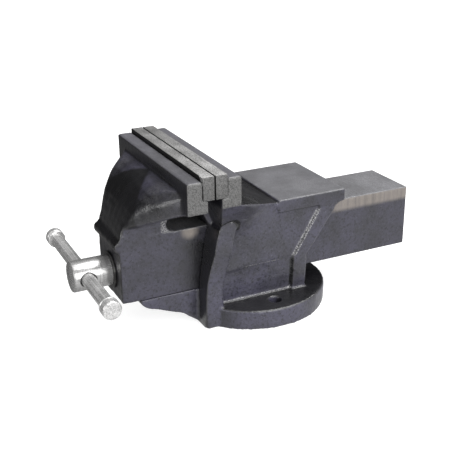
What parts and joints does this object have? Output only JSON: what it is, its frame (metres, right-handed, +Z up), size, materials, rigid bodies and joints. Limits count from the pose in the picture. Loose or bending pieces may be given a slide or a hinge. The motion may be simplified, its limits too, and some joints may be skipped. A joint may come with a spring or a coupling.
{
  "type": "bench vise",
  "caption": "Bench vise with a fixed round base, square slide, steel jaw plates, flat anvil and a sliding handle bar through the spindle head.",
  "frame": {"origin": "centre of the round base, on the face that rests on the bench", "axes": "+X along the jaws, +Y from the operator's side towards the tail of the slide, +Z up from the bench"},
  "size_m": [0.165, 0.3058, 0.1445],
  "materials": {
    "cast_black": "black enamel over rough casting, ground on the jaw ends and anvil",
    "jaw_steel": "hardened, surface ground",
    "bright_steel": "turned and polished",
    "dark_steel": "black oxide",
    "spring_steel": "oiled",
    "nut_bronze": "cast and bored"
  },
  "bodies": {
    "base": {"fixed_body": "cast_black", "fixed_jaw_plate": "jaw_steel", "fixed_jaw_screws": "dark_steel", "spindle_nut": "nut_bronze", "nut_bolt": "dark_steel", "nut_spring_washer": "spring_steel", "nut_flat_washer": "bright_steel", "nut_dowels": "bright_steel"},
    "slide": {"sliding_jaw": "cast_black", "sliding_jaw_plate": "jaw_steel", "sliding_jaw_screws": "dark_steel"},
    "screw": {"spindle": "bright_steel", "thrust_washer": "dark_steel", "return_spring": "spring_steel", "spring_washer": "dark_steel", "retaining_collar": "dark_steel", "collar_pin": "bright_steel"},
    "handle": {"handle_bar": "bright_steel", "handle_cap_left": "bright_steel", "handle_cap_right": "bright_steel"}
  },
  "joints": [
    {"name": "jaw_slide", "type": "slide", "parent": "base", "child": "slide", "axis": [0, -1, 0], "range_m": [0, 0.14]},
    {"name": "spindle_turn", "type": "hinge", "parent": "slide", "child": "screw", "pos_m": [0, -0.1283, 0.052], "axis": [0, -1, 0], "range_deg": [0, 12600.1]},
    {"name": "handle_slide", "type": "slide", "parent": "screw", "child": "handle", "axis": [1, 0, 0], "range_m": [-0.0465, 0.066]}
  ],
  "couplings": [
    {"joint": "spindle_turn", "follows": "jaw_slide", "rad_per_m": 1570.8}
  ]
}
